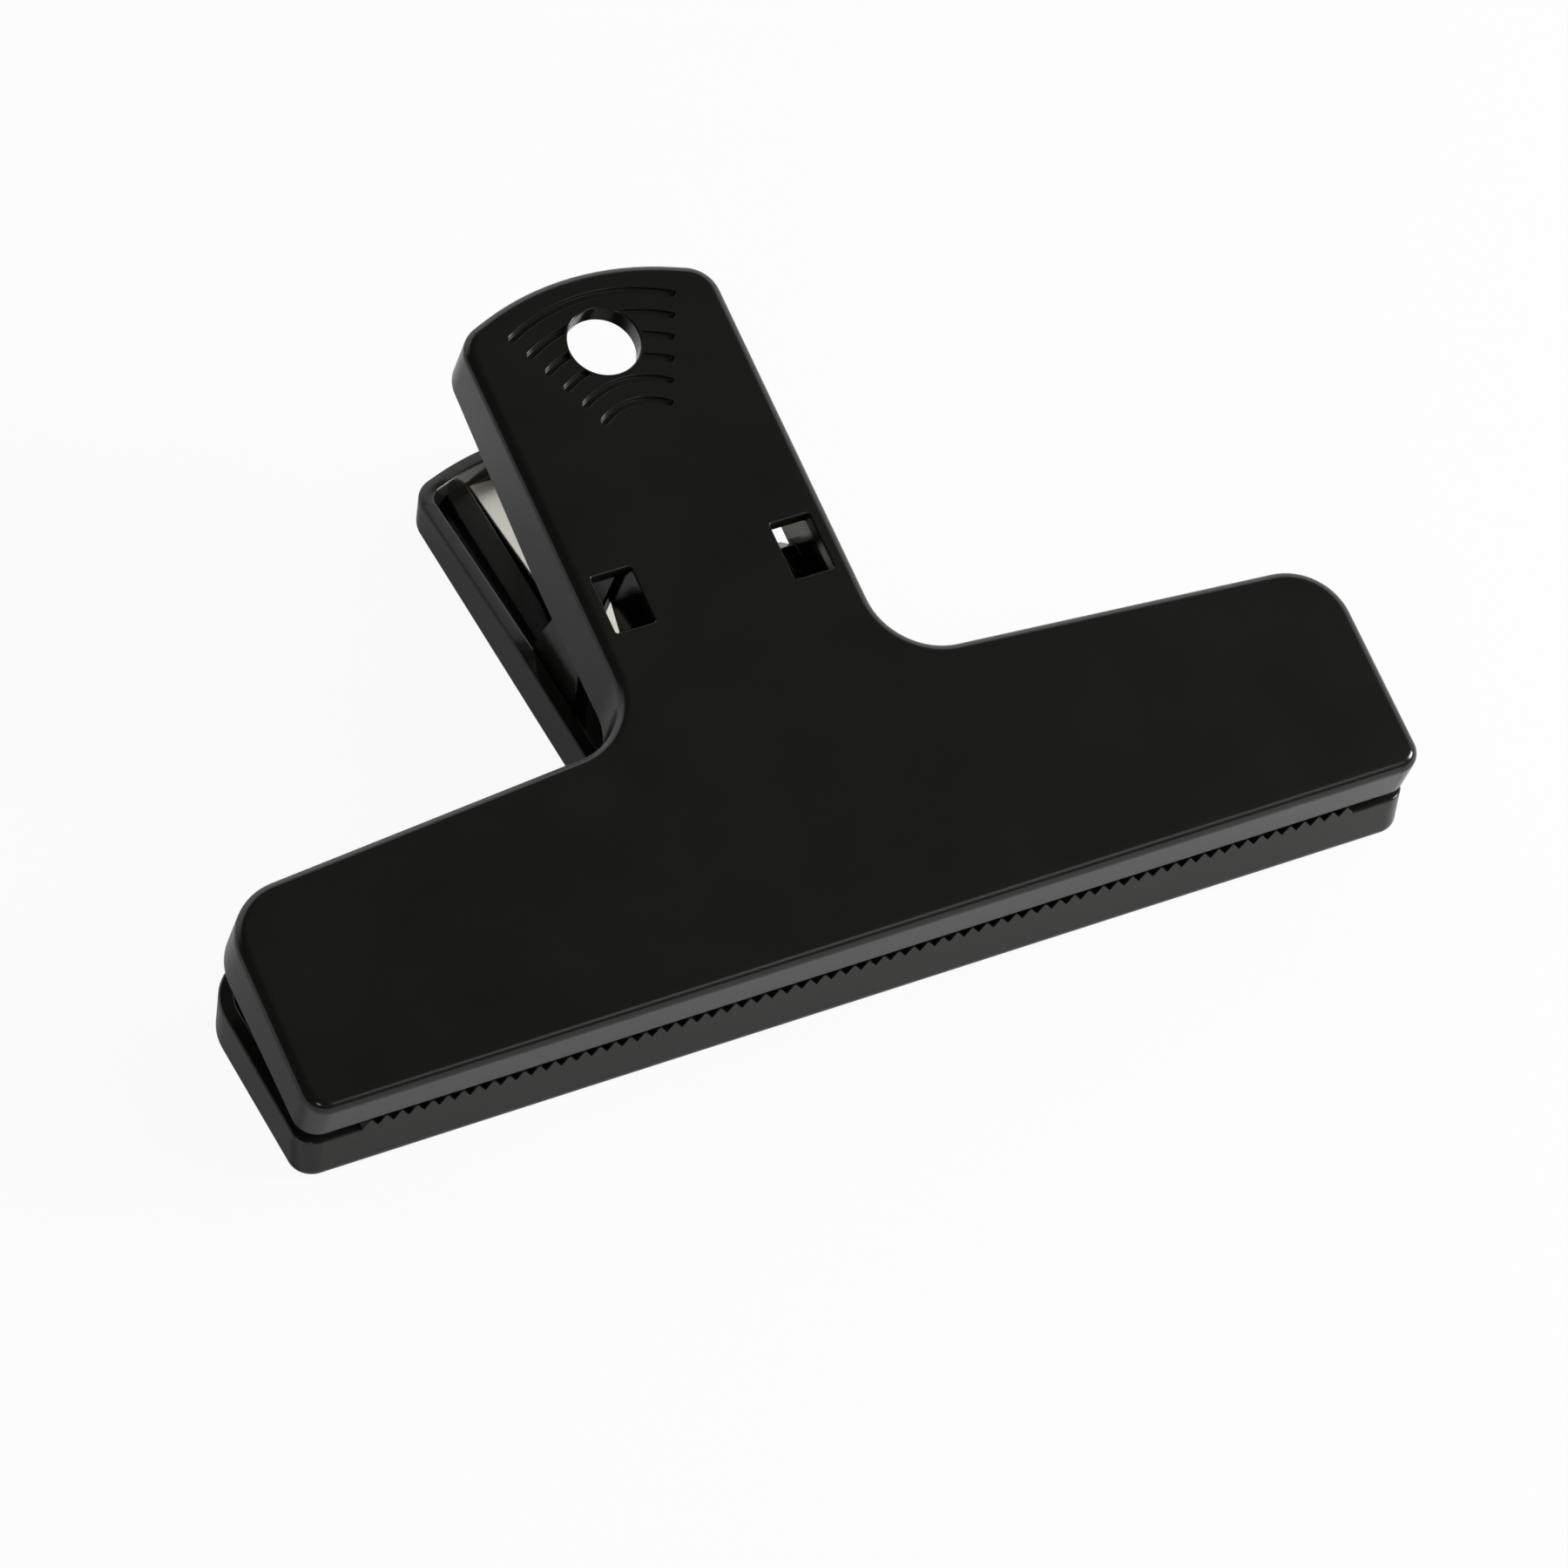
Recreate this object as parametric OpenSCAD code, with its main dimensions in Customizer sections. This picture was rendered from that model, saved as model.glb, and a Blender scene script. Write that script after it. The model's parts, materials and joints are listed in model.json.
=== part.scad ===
// Magnetic spring clip: two moulded T-shaped levers on a snap-in hinge, held shut by a bent leaf spring.
// X runs along the jaw, Y from the jaw to the handles, Z up from the magnetic back.
// The origin is on the back face, midway between the magnets.

/* [Levers] */
// Width of the jaw
jaw_w = 150; // [130:1:180]
// Length of the jaw's straight ends, from the lip to the shoulder
jaw_end = 29.2; // [26:0.2:34]
// Distance from the lip to where the shoulder meets the handle
neck_y = 33.9; // [32:0.1:38]
// Width of the handle
handle_w = 34.6; // [33:0.2:40]
// Length of the upper lever
upper_len = 94.2; // [91:0.2:105]
// Length of the lower lever
lower_len = 96.3; // [92:0.1:105]
// Thickness of the levers' plates
plate = 2; // [1.6:0.1:2.4]
// Thickness of the skirts around the plates
wall = 2; // [1.6:0.1:2.2]
// Rounding of the levers' outer edges
edge_r = 1.5; // [0.6:0.1:1.8]
// Plan radius of the lip's corners
lip_corner_r = 3; // [2.5:0.1:6]
// Plan radius of the jaw's rear corners
shoulder_r = 8; // [4:0.5:11]
// Plan radius between shoulder and handle
neck_r = 9; // [4:0.5:11]
// Plan radius of the handle's end corners
handle_corner_r = 4.5; // [3:0.1:5]
// Plan radius of the handle's crowned end
crown_r = 36; // [28:1:38]
// Slope of the handle's end beside the crown, in degrees
crown_slope = 21; // [16:0.5:22]

/* [Rims] */
// Height of the upper lever at its lip
upper_lip = 7.25; // [6:0.05:8.5]
// Height of the upper lever at its shoulders
upper_shoulder = 8.9; // [8:0.1:10]
// Height of the upper lever's handle beside the hinge
upper_side = 11; // [10:0.1:12]
// Height of the upper lever at its handle's end
upper_end = 8.4; // [7:0.1:10]
// Distance behind the neck where the upper handle reaches its full height
side_start = 9; // [6:0.5:12]
// Distance behind the hinge axis where the handles begin to taper
side_end = 6; // [2:0.5:10]
// Rounding of the rims' bends
rim_r = 20; // [10:1:24]
// Height of the lower lever at its lip, without the teeth
lower_lip = 6.7; // [6:0.05:8]
// Height of the lower lever's handle beside the hinge
lower_side = 7.3; // [6.5:0.1:8]
// Height of the lower lever at its handle's end
lower_end = 5.4; // [4.5:0.1:6.5]
// Height of the teeth on the lower lip
tooth_h = 1.15; // [0.6:0.05:1.6]
// Pitch of the teeth
tooth_pitch = 2; // [1.5:0.1:3]
// Length of the row of teeth
tooth_row = 134; // [80:2:142]
// Gap between the teeth and the upper lip when the clip is shut
lip_gap = 0.25; // [0.2:0.05:0.6]

/* [Hinge] */
// Distance from the lower lip to the hinge axis
pivot_y = 55; // [53:0.2:58]
// Height of the hinge axis over each lever's outer face
pivot_z = 15.6; // [14.6:0.1:17]
// Radius of the trunnions
trunnion_r = 1.9; // [1.4:0.1:2]
// Radial running clearance of the trunnions
run_gap = 0.05; // [0.02:0.01:0.08]
// Radius of the lugs' eyes
eye_r = 3.2; // [2.8:0.1:3.6]
// Thickness of the ears
ear_t = 2; // [1.6:0.1:2.2]
// Thickness of the lugs
lug_t = 2.1; // [1.6:0.1:2.2]
// Sideways clearance between skirt, ear and lug
side_gap = 0.3; // [0.2:0.05:0.4]
// Reach of the ears' feet in front of the hinge axis
ear_front = 4.5; // [4:0.1:5.5]
// Reach of the ears' feet behind the hinge axis
ear_rear = 6.8; // [6:0.1:8]
// Height of the ears' feet at their rear corner
ear_foot = 8.5; // [7:0.1:10]
// Reach of the ears' heads in front of the hinge axis
ear_head = 6.3; // [5.6:0.1:7]
// Reach of the ears' heads behind the hinge axis
ear_back = 1.3; // [0.8:0.1:2]
// Height of the heads' rear shoulders over the hinge axis
ear_shoulder = 4; // [3:0.1:4.6]
// Length of the heads' level tops
ear_crest = 4.3; // [3:0.1:5]
// Height of the ears over the hinge axis
ear_top = 6.8; // [6:0.1:8]
// Rounding of the ears' feet
ear_r = 5; // [3:0.5:6]
// Rounding of the ears' heads
ear_corner_r = 1; // [0.5:0.1:1.2]
// Width of the lugs' feet, in front of the windows
lug_foot = 3.5; // [2.5:0.1:4]
// Height at which the lugs turn back to the hinge axis
lug_elbow = 9; // [7:0.1:10]

/* [Windows and hang hole] */
// Distance of the windows' inner edges from the middle
window_x = 9.45; // [9:0.05:10]
// Width of the windows
window_w = 5.35; // [4:0.05:5.5]
// Distance of the windows from the lip
window_y = 47; // [46:0.1:48.5]
// Length of the windows
window_l = 7.9; // [5:0.05:8.4]
// Distance of the hang hole from the lip
hole_y = 84.3; // [83.6:0.1:85]
// Radius of the hang hole
hole_r = 4.6; // [3:0.1:4.8]
// Depth of the hang hole's wall, with the ring under the plate
hole_depth = 2.9; // [2.6:0.1:4]
// Thickness of the ring around the hang hole
ring_w = 2.2; // [1.5:0.1:2.4]
// Chamfer of the hang hole
hole_chamfer = 0.2; // [0.1:0.05:0.3]

/* [Grip grooves] */
// Number of arched grooves
groove_count = 6; // [3:1:6]
// Width of a groove
groove_w = 0.9; // [0.6:0.1:1.4]
// Depth of a groove
groove_d = 0.5; // [0.3:0.1:0.8]
// Pitch of the grooves
groove_pitch = 3.05; // [2:0.05:3.1]
// Radius of the innermost groove
groove_r = 7.65; // [6:0.05:7.8]
// Distance of the grooves' common centre from the lip
groove_y = 67.8; // [67:0.1:68.4]
// Distance of the fan's apex from the lip
fan_y = 64.5; // [63:0.1:65]
// Half angle of the fan that ends the grooves, in degrees
fan_angle = 24.9; // [18:0.1:26]
// Plain land around the hang hole
hole_land = 0.4; // [0.35:0.05:1.5]

/* [Ribs] */
// Thickness of the upper lever's stiffening ribs
rib_t = 1.45; // [1:0.05:1.6]
// Start of the stiffening ribs, from the lip
rib_y = 36; // [34:0.5:42]
// Height of the stiffening ribs at their start
rib_low = 8.5; // [6:0.1:9.5]
// Height of the stiffening ribs at the hinge
rib_high = 12.1; // [11:0.1:12.4]
// Reach of the stiffening ribs behind the hinge axis
rib_end = 1.2; // [0.8:0.1:1.6]
// Length of the bevel at the ribs' rear end
rib_bevel = 3.4; // [2:0.1:5]
// Height taken off by that bevel
rib_drop = 1.5; // [1:0.1:2]
// Thickness of the spring's guide ribs
guide_t = 1.15; // [0.8:0.05:1.2]
// Height of the guide ribs beside the hinge
guide_high = 15; // [12:0.1:15.5]
// Length over which the guide ribs keep that height
guide_level = 2; // [1:0.1:3]
// Length of the guide ribs
guide_l = 19; // [10:0.5:20]
// Height of the guide ribs' free end
guide_low = 5; // [4:0.1:7]
// Width of the lower lever's rails beside the spring
rail_w = 3.25; // [1:0.05:3.5]
// Height of the rails over the plate
rail_h = 1.2; // [0.6:0.1:1.6]
// Gap between the ears and the rails
rail_gap = 1.4; // [0.5:0.1:3]

/* [Spring] */
// Width of the spring's strip
spring_w = 17.6; // [14:0.2:17.6]
// Thickness of the strip
spring_t = 0.6; // [0.4:0.05:0.7]
// Radius of the bend, at the strip's middle
bend_r = 2.3; // [1.6:0.1:2.8]
// Reach of the bend's apex in front of the hinge axis
bend_front = 5; // [4.5:0.1:6]
// Distance of the lower arm's knee behind the hinge axis
knee_l = 17.5; // [15:0.5:20]
// Height of the lower arm's knee over the plate
knee_h = 2.35; // [1.8:0.05:2.8]
// Distance of the upper arm's knee behind the hinge axis
upper_knee_l = 16.9; // [15:0.1:18]
// Height of the upper arm's knee over the plate
upper_knee_h = 1.9; // [1.4:0.05:2.2]
// Radius of the knees
knee_r = 20; // [10:1:24]
// Gap between the strip's tips and what they press on
spring_gap = 0.3; // [0.2:0.05:0.4]
// Sideways gap between the strip and its rails and guide ribs
strip_gap = 0.35; // [0.2:0.05:0.5]
// Gap between the lower arm and the plate that it lies on
seat_gap = 0.05; // [0.02:0.01:0.1]

/* [Magnets] */
// Length of a magnet
magnet_l = 34; // [20:1:40]
// Width of a magnet
magnet_w = 14; // [8:0.5:16]
// Thickness of a magnet
magnet_t = 3; // [2:0.1:3.5]
// Distance of each magnet from the jaw's end
magnet_end = 14; // [6:1:20]
// Distance of the magnets' centres from the lip
magnet_y = 15.5; // [13:0.5:17]
// Plan radius of a magnet's corners
magnet_r = 1; // [0.5:0.1:2]
// Clearance around a magnet in its pocket
magnet_gap = 0.15; // [0.05:0.05:0.3]
// Wall of the pocket around and over a magnet
pocket_wall = 1.3; // [1:0.1:1.6]

/* [Hidden] */
plastic = [0.12, 0.12, 0.11];
steel = [0.86, 0.84, 0.77];
ferrite = [0.22, 0.22, 0.23];

// Longest distance between a curve and its chords
chord_error = 0.03;
// Rings of the rounded outer edge
edge_rings = 6;
// Depth by which ribs and ears are sunk into what carries them
root = 0.5;
// Overshoot of a cut past the face that it opens
past = 1;
$fn = 96;

half_handle = handle_w / 2;
skirt_x = half_handle - wall;
ear_x = skirt_x - side_gap - ear_t;
lug_x = ear_x - side_gap - lug_t;
magnet_x = jaw_w / 2 - magnet_end - magnet_l / 2;

// The clip shuts until the lips meet: both lips lie on circles round the hinge axis,
// which gives the upper lever's own distance from lip to axis, and the angle between the levers.
shut_lip = lower_lip + tooth_h + lip_gap;
lip_arm = norm([pivot_y, pivot_z - shut_lip]);
upper_pivot_y = sqrt(lip_arm * lip_arm - pow(pivot_z - upper_lip, 2));
shut_angle = atan((pivot_z - shut_lip) / pivot_y) + atan((pivot_z - upper_lip) / upper_pivot_y);
bisector = shut_angle / 2;

// Outline tools: a corner is [x, y, radius], a positive inset moves the outline to its left
function unit(v) = v / norm(v);
function left_of(v) = [-v.y, v.x];
function xy(p) = [p.x, p.y];
function heading(a) = [cos(a), sin(a)];
function turn(u, v) = atan2(u.x * v.y - u.y * v.x, u * v);
function steps(r, a) = max(2, ceil(abs(a) / (2 * acos(1 - chord_error / max(r, 2 * chord_error)))));
function corner(before, here, after, inset) =
    let (
        u = unit(xy(here) - xy(before)),
        v = unit(xy(after) - xy(here)),
        a = turn(u, v),
        r = max(0, here[2] - sign(a) * inset),
        tip = xy(here) + inset * (left_of(u) + left_of(v)) / (1 + left_of(u) * left_of(v)),
        start = tip - u * r * tan(abs(a) / 2),
        centre = start + sign(a) * r * left_of(u),
        n = here[2] > 0 ? steps(here[2], a) : 0
    )
    n == 0 ? [tip] : [
        for (i = [0:n])
            let (d = start - centre, b = a * i / n)
                centre + [d.x * cos(b) - d.y * sin(b), d.x * sin(b) + d.y * cos(b)]
    ];
function rounded(c, inset = 0) =
    let (n = len(c)) [for (i = [0:n - 1]) each corner(c[(i + n - 1) % n], c[i], c[(i + 1) % n], inset)];
function path(c, inset) =
    let (n = len(c), u = unit(xy(c[1]) - xy(c[0])), v = unit(xy(c[n - 1]) - xy(c[n - 2])))
    [
        xy(c[0]) + inset * left_of(u),
        for (i = [1:n - 2]) each corner(c[i - 1], c[i], c[i + 1], inset),
        xy(c[n - 1]) + inset * left_of(v)
    ];
function reversed(p) = [for (i = [len(p) - 1:-1:0]) p[i]];
function tangent(p, c, r, side) =
    let (v = c - p, d = norm(v), a = atan2(v.y, v.x) + side * asin(r / d))
    p + sqrt(d * d - r * r) * heading(a);

// Plan outline of a lever, from the lip's right end round the handle's crowned end to the lip's left end
function lever_outline(length) =
    let (
        peak = length + crown_r * (1 / cos(crown_slope) - 1),
        knee = peak - half_handle * tan(crown_slope)
    )
    [
        [jaw_w / 2, 0, lip_corner_r], [jaw_w / 2, jaw_end, shoulder_r], [half_handle, neck_y, neck_r],
        [half_handle, knee, handle_corner_r], [0, peak, crown_r], [-half_handle, knee, handle_corner_r],
        [-half_handle, neck_y, neck_r], [-jaw_w / 2, jaw_end, shoulder_r], [-jaw_w / 2, 0, lip_corner_r]
    ];

// Slab with a rounded edge around its face at z = 0; its flat faces are strips across the middle line,
// between each point of the outline's right half and its mirror image
module rounded_slab(outline, height) {
    rings = [
        for (i = [0:edge_rings])
            let (a = 90 * i / edge_rings)
                [for (p = rounded(outline, edge_r * (1 - sin(a)))) [p.x, p.y, edge_r * (1 - cos(a))]],
        [for (p = rounded(outline)) [p.x, p.y, height]]
    ];
    n = len(rings[0]);
    last = len(rings) - 1;
    strips = [
        for (i = [0:ceil(n / 2) - 2])
            i + 1 < n - 2 - i ? [i, i + 1, n - 2 - i, n - 1 - i] : [i, i + 1, n - 1 - i]
    ];
    polyhedron(
        points = [for (r = rings) each r],
        faces = [
            each strips,
            for (f = strips) [for (i = reversed(f)) last * n + i],
            for (k = [0:last - 1], i = [0:n - 1])
                [k * n + i, (k + 1) * n + i, (k + 1) * n + (i + 1) % n, k * n + (i + 1) % n]
        ]
    );
}

// Shape drawn in the Y-Z plane, extruded along X from x0 to x1
module along_x(x0, x1) {
    translate([x0, 0, 0]) rotate([90, 0, 90]) linear_extrude(x1 - x0) children();
}

// The same shape on both sides of the middle
module both_sides() {
    children();
    mirror([1, 0, 0]) children();
}

// T-shaped tray: plate at z = 0, skirt rising to the rim line, which is given as corners in Y and Z
module tray(length, rim) {
    outline = lever_outline(length);
    height = max([for (p = rim) p.y]) + past;
    difference() {
        intersection() {
            rounded_slab(outline, height);
            along_x(-jaw_w, jaw_w)
                polygon(rounded(concat([[-past, -past, 0], [length + past, -past, 0]], reversed(rim))));
        }
        translate([0, 0, plate]) linear_extrude(height) polygon(rounded(outline, wall));
    }
}

// Rim lines, level past both ends of the lever
function rim_line(length, lip, line, end) = concat(
    [[-past, lip, 0], [0, lip, 0]], line, [[length, end, 0], [length + past, end, 0]]
);

// Places what is drawn with its outer face at z = 0 as the upper lever, plate up, lips shut
module as_upper() {
    translate([0, pivot_y - magnet_y, pivot_z]) rotate([shut_angle, 0, 0])
        translate([0, -upper_pivot_y, pivot_z]) mirror([0, 0, 1]) children();
}

module as_lower() {
    translate([0, -magnet_y, 0]) children();
}

// Arched grip grooves, cut into the face at z = 0
module grip_grooves() {
    difference() {
        for (i = [0:groove_count - 1])
            translate([0, groove_y, -past])
                linear_extrude(groove_d + past) groove(groove_r + i * groove_pitch);
        translate([0, hole_y, -2 * past]) cylinder(r = hole_r + hole_land, h = groove_d + 3 * past);
    }
}

// One groove with round ends, where the arc round the common centre meets the fan's sides
module groove(r) {
    apex = fan_y - groove_y;
    half_angle = fan_angle + asin(-apex * sin(fan_angle) / r);
    left = 90 + half_angle;
    right = 90 - half_angle;
    arc = [for (i = [0:12]) right + 2 * half_angle * i / 12];
    polygon(concat(
        [for (a = arc) (r + groove_w / 2) * heading(a)],
        [for (a = [15:15:165]) r * heading(left) + groove_w / 2 * heading(left + a)],
        [for (a = reversed(arc)) (r - groove_w / 2) * heading(a)],
        [for (a = [15:15:165]) r * heading(right) + groove_w / 2 * heading(right + 180 + a)]
    ));
}

// Lug with the eye for a trunnion: it comes down in front of the window and reaches back to the axis
module lug_profile() {
    eye = [upper_pivot_y, pivot_z];
    foot = window_y - lug_foot;
    polygon([
        [foot, plate - root], [window_y, plate - root], [window_y, lug_elbow],
        tangent([window_y, lug_elbow], eye, eye_r, -1), eye,
        tangent([foot, lug_elbow], eye, eye_r, 1), [foot, lug_elbow]
    ]);
    translate(eye) circle(eye_r);
}

// Stiffening rib beside the window, ending behind the hinge axis
module rib_profile() {
    end = upper_pivot_y + rib_end;
    polygon([
        [rib_y, plate - root], [rib_y, rib_low], [window_y, rib_high], [end - rib_bevel, rib_high],
        [end, rib_high - rib_drop], [end, plate - root]
    ]);
}

// Guide rib beside the spring's upper arm
module guide_profile() {
    start = upper_pivot_y + rib_end;
    polygon([
        [start, plate - root], [start, guide_high], [start + guide_level, guide_high],
        [start + guide_l, guide_low], [start + guide_l, plate - root]
    ]);
}

module upper_lever() {
    rim = rim_line(upper_len, upper_lip, [
        [jaw_end, upper_shoulder, rim_r], [neck_y + side_start, upper_side, rim_r],
        [pivot_y + side_end, upper_side, rim_r]
    ], upper_end);
    guide_x = spring_w / 2 + strip_gap;
    color(plastic) as_upper() difference() {
        union() {
            tray(upper_len, rim);
            translate([0, hole_y, plate - root]) cylinder(r = hole_r + ring_w, h = hole_depth - plate + root);
            both_sides() {
                along_x(lug_x, lug_x + lug_t) lug_profile();
                along_x(window_x - rib_t, window_x) rib_profile();
                along_x(guide_x, guide_x + guide_t) guide_profile();
            }
        }
        both_sides() {
            translate([window_x, window_y, -past]) cube([window_w, window_l, plate + 2 * past]);
            translate([lug_x - past, upper_pivot_y, pivot_z])
                rotate([0, 90, 0]) cylinder(r = trunnion_r + run_gap, h = lug_t + 2 * past);
        }
        translate([0, hole_y, -past]) cylinder(r = hole_r, h = hole_depth + 2 * past);
        translate([0, hole_y, -past])
            cylinder(r1 = hole_r + hole_chamfer + past, r2 = hole_r, h = hole_chamfer + past);
        grip_grooves();
    }
}

// Row of teeth along the lower lip
module teeth() {
    count = floor(tooth_row / tooth_pitch);
    start = -count * tooth_pitch / 2;
    translate([0, wall, 0]) rotate([90, 0, 0]) linear_extrude(wall) polygon(concat(
        [[start, lower_lip - root]],
        [for (i = [0:count - 1]) each [
            [start + i * tooth_pitch, lower_lip],
            [start + (i + 0.5) * tooth_pitch, lower_lip + tooth_h]
        ]],
        [[-start, lower_lip], [-start, lower_lip - root]]
    ));
}

// Ear that rises beside the skirt and carries a trunnion at the hinge axis: a foot under a wider head
module ear_profile() {
    front = pivot_y - ear_front;
    head = pivot_y - ear_head;
    rear = pivot_y + ear_rear;
    top = pivot_z + ear_top;
    polygon(rounded([
        [front, plate - root, 0], [rear, plate - root, 0], [rear, ear_foot, ear_r],
        [pivot_y + ear_back, pivot_z + ear_shoulder, ear_corner_r],
        [head + ear_crest, top, ear_corner_r], [head, top, ear_corner_r],
        [head, pivot_z, ear_corner_r], [front, pivot_z - (front - head), ear_corner_r]
    ]));
}

// Rails that keep the spring's lower arm in the middle, run into the handle's end wall
module rails() {
    start = pivot_y + ear_rear + rail_gap;
    intersection() {
        both_sides() translate([spring_w / 2 + strip_gap, start, plate - root])
            cube([rail_w, lower_len - start, rail_h + root]);
        linear_extrude(plate + rail_h + past) polygon(rounded(lever_outline(lower_len), wall / 2));
    }
}

// Rectangle with round corners round a magnet's centre, grown by a margin
module magnet_plan(margin) {
    x = magnet_l / 2 + margin;
    y = magnet_w / 2 + margin;
    r = magnet_r + margin;
    translate([magnet_x, magnet_y]) polygon(rounded([[-x, -y, r], [x, -y, r], [x, y, r], [-x, y, r]]));
}

module lower_lever() {
    rim = rim_line(lower_len, lower_lip, [
        [neck_y + side_start, lower_side, rim_r], [pivot_y + side_end, lower_side, rim_r]
    ], lower_end);
    color(plastic) as_lower() difference() {
        union() {
            tray(lower_len, rim);
            teeth();
            rails();
            both_sides() {
                along_x(ear_x, ear_x + ear_t) ear_profile();
                translate([lug_x, pivot_y, pivot_z]) rotate([0, 90, 0])
                    cylinder(r = trunnion_r, h = ear_x + root - lug_x);
                translate([0, 0, plate - root])
                    linear_extrude(magnet_t + pocket_wall - plate + root) magnet_plan(magnet_gap + pocket_wall);
            }
        }
        both_sides() translate([0, 0, -past]) linear_extrude(magnet_t + past) magnet_plan(magnet_gap);
    }
}

// Bent strip: its lower arm lies in the channel, its upper arm presses under the upper handle
module leaf_spring() {
    middle = plate + spring_t / 2;
    axis = [pivot_y, pivot_z];
    apex = axis - bend_front * heading(bisector);
    upper_knee = from_upper([upper_pivot_y + upper_knee_l, middle + upper_knee_h]);
    upper_tip = from_upper([hole_y - hole_r - ring_w - 2 * spring_gap, middle + spring_gap]);
    end_wall = lower_len - crown_r + sqrt(pow(crown_r - wall, 2) - pow(spring_w / 2, 2));
    line = [
        [end_wall - spring_gap, middle + seat_gap, 0],
        [pivot_y + knee_l, plate + knee_h, knee_r],
        [apex.x, apex.y, bend_r],
        [upper_knee.x, upper_knee.y, knee_r],
        [upper_tip.x, upper_tip.y, 0]
    ];
    color(steel) as_lower() along_x(-spring_w / 2, spring_w / 2)
        polygon(concat(path(line, spring_t / 2), reversed(path(line, -spring_t / 2))));
}

// Point of the upper lever's side view, given by its distances from lip and outer face, in the lower's
function from_upper(p) =
    let (d = [p.x - upper_pivot_y, pivot_z - p.y])
    [pivot_y, pivot_z] + [d.x * cos(shut_angle) - d.y * sin(shut_angle),
                          d.x * sin(shut_angle) + d.y * cos(shut_angle)];

module magnet() {
    color(ferrite) as_lower() linear_extrude(magnet_t) magnet_plan(0);
}

module magnet_right() {
    magnet();
}

module magnet_left() {
    mirror([1, 0, 0]) magnet();
}

upper_lever();
lower_lever();
leaf_spring();
magnet_left();
magnet_right();
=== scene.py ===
"""Looks of the magnetic spring clip: moulded levers, plated spring, ferrite magnets and a plain studio."""
import json
import math

import bmesh
import bpy
import numpy as np
from mathutils import Matrix, Vector


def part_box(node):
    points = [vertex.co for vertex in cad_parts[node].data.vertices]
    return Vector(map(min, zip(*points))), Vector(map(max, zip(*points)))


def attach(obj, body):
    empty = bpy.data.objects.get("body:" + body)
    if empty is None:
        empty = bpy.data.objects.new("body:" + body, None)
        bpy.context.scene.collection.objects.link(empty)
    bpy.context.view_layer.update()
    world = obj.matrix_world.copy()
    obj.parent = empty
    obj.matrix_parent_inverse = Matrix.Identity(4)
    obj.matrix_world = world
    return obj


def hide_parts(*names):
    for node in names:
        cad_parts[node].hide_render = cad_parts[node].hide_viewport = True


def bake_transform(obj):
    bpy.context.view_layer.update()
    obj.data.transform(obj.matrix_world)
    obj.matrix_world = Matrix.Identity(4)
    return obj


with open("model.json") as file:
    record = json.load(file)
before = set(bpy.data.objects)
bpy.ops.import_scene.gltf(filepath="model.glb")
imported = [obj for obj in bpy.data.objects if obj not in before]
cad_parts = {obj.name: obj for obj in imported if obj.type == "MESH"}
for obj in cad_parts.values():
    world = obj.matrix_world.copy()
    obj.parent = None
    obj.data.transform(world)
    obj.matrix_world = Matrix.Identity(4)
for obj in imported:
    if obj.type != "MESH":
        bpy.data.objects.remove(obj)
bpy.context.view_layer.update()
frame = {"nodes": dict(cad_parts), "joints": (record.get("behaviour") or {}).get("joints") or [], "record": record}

# Sizes are in millimetres, in each lever's own frame: x along the jaw, y from the lip to the handle's end,
# and depth from the lever's outer face to the inside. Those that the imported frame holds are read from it.
MM = 0.001
low, high = (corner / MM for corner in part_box("lower_lever"))
hinge = Vector(frame["joints"][0]["pos_m"]) / MM
hang_hole = next(m for m in frame["record"]["mounts"] if m["name"] == "hang_hole")

JAW_W = high.x - low.x
LIP_Y = low.y
LOWER_LEN = high.y - low.y
PIVOT_Y = hinge.y - LIP_Y
PIVOT_Z = hinge.z
HOLE_R = hang_hole["dims"]["r_mm"]
SHUT_ANGLE = math.atan2(-hang_hole["axis"][1], hang_hole["axis"][2])

# Plan of the levers
UPPER_LEN = 94.2
JAW_END = 29.2
NECK_Y = 33.9
HALF_HANDLE = 17.3
LIP_CORNER_R = 3
SHOULDER_R = 8
NECK_R = 9
HANDLE_CORNER_R = 4.5
CROWN_R = 36
CROWN_SLOPE = math.radians(21)

# Walls and rims
PLATE = 2
WALL = 2
EDGE_R = 1.5
RIM_EDGE_R = 0.3
FLOOR_R = 0.5
UPPER_LIP = 7.25
UPPER_SHOULDER = 8.9
UPPER_SIDE = 11
UPPER_END = 8.4
LOWER_LIP = 6.7
LOWER_SIDE = 7.3
LOWER_END = 5.4
SIDE_START = 9
SIDE_END = 6
RIM_BEND_R = 20
TOOTH_H = 1.15
TOOTH_PITCH = 2
TOOTH_ROW = 134
TOOTH_FLAT = 0.12
LIP_GAP = 0.25

# Hinge
TRUNNION_R = 1.9
RUN_GAP = 0.05
EYE_R = 3.2
EAR_T = 2
LUG_T = 2.1
SIDE_GAP = 0.3
EAR_FRONT = 4.5
EAR_REAR = 6.8
EAR_FOOT = 8.5
EAR_HEAD = 6.3
EAR_BACK = 1.3
EAR_SHOULDER = 4
EAR_CREST = 4.3
EAR_TOP = 6.8
EAR_R = 5
EAR_CORNER_R = 1
LUG_FOOT = 3.5
LUG_ELBOW = 9

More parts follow.
